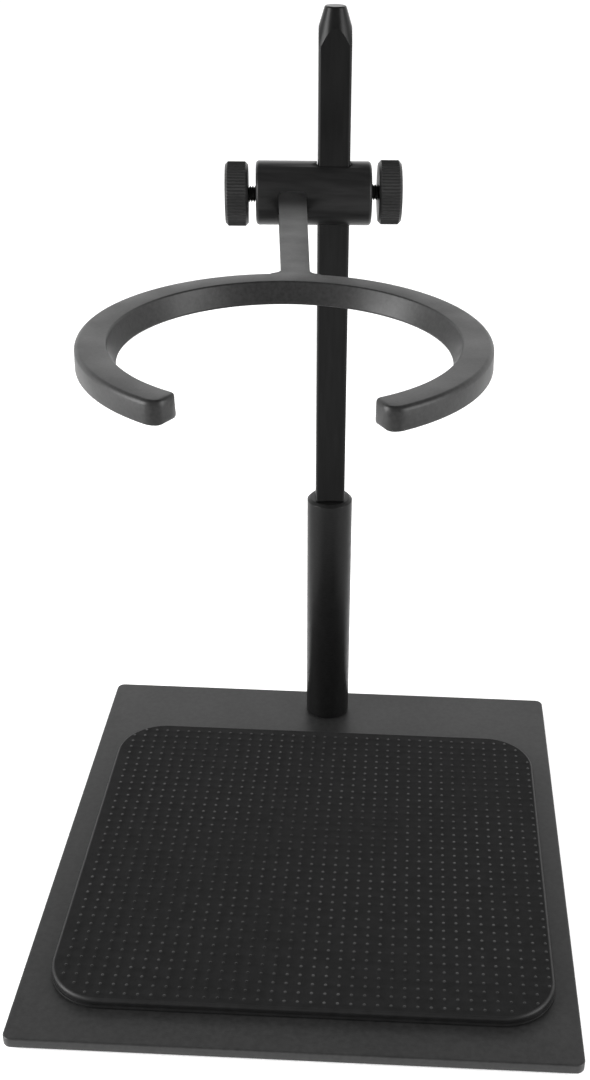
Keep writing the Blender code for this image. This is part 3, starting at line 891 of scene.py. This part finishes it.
def make_studio():
    """A soft white surround: brightest behind the stand, dimmer overhead and in front."""
    world = bpy.data.worlds.new("studio")
    world.use_nodes = True
    tree = world.node_tree
    direction = tree.nodes.new("ShaderNodeTexCoord").outputs["Generated"]
    split = tree.nodes.new("ShaderNodeSeparateXYZ")
    tree.links.new(direction, split.inputs["Vector"])
    around = remapped(tree, split.outputs["Y"], *STUDIO_TURN, STUDIO_FRONT, STUDIO_BACK,
                      "SMOOTHSTEP")
    overhead = remapped(tree, split.outputs["Z"], *STUDIO_RISE, 0.0, 1.0, "SMOOTHSTEP")
    mix = tree.nodes.new("ShaderNodeMix")
    mix.data_type = "FLOAT"
    mix.inputs["B"].default_value = STUDIO_TOP
    tree.links.new(overhead.outputs["Result"], mix.inputs["Factor"])
    tree.links.new(around.outputs["Result"], mix.inputs["A"])
    background = tree.nodes["Background"]
    background.inputs["Color"].default_value = (1.0, 1.0, 1.0, 1.0)
    tree.links.new(mix.outputs["Result"], background.inputs["Strength"])
    bpy.context.scene.world = world


def make_lamp(name, place, target, power):
    """A softbox that lights the stand but isn't itself seen."""
    data = bpy.data.lights.new(name, "AREA")
    data.shape = "RECTANGLE"
    data.size, data.size_y = LAMP_SIZE
    data.energy = power
    lamp = bpy.data.objects.new(name, data)
    lamp.location = place
    aim = Vector(target) - Vector(place)
    lamp.rotation_euler = aim.to_track_quat("-Z", "Y").to_euler()
    lamp.visible_camera = False
    bpy.context.scene.collection.objects.link(lamp)


def make_lamps():
    """Two tall softboxes in front of the stand, to its left and right."""
    middle = (cad_low + cad_high) / 2
    x, y, z = LAMP_PLACE
    make_lamp("left_softbox", (-x, y, z), middle, LEFT_LAMP_POWER)
    make_lamp("right_softbox", (x, y, z), middle, RIGHT_LAMP_POWER)


def make_camera():
    """The camera that the photograph was fitted with."""
    data = bpy.data.cameras.new("camera")
    data.sensor_fit = "VERTICAL"
    data.sensor_height = SENSOR_HEIGHT
    data.lens = CAMERA_LENS
    data.shift_x, data.shift_y = CAMERA_SHIFT
    camera = bpy.data.objects.new("camera", data)
    camera.location = CAMERA_PLACE
    camera.rotation_euler = [math.radians(turn) for turn in CAMERA_TURN]
    bpy.context.scene.collection.objects.link(camera)
    bpy.context.scene.camera = camera


# ---- assembly ----------------------------------------------------------------------
make_camera()
make_plate(powder_coat())
make_feet(pad_rubber())
make_mat(silicone())
make_post(satin_black("post_black", 0.003, 0.006, (1, 1, 0.3)))
make_bar(satin_black("bar_black", 0.001, 0.003, (1, 1, 12)))
make_block(satin_black("block_black", 0.006, 0.010, (12, 1, 1)))
screw_finish = oxide_black()
make_clamp_screw("height", 1, screw_finish)
make_clamp_screw("arm", -1, screw_finish)
make_holder(cast_black())

# The hidden pieces stay as the CAD made them, with a finish of their own.
zinc = zinc_plate()
for inner in ("post_screw", "bar_stud", "height_pad", "arm_pad"):
    frame["nodes"][inner].data.materials.clear()
    frame["nodes"][inner].data.materials.append(zinc)

make_floor()
make_studio()
make_lamps()
bpy.context.scene.view_settings.view_transform = "Standard"
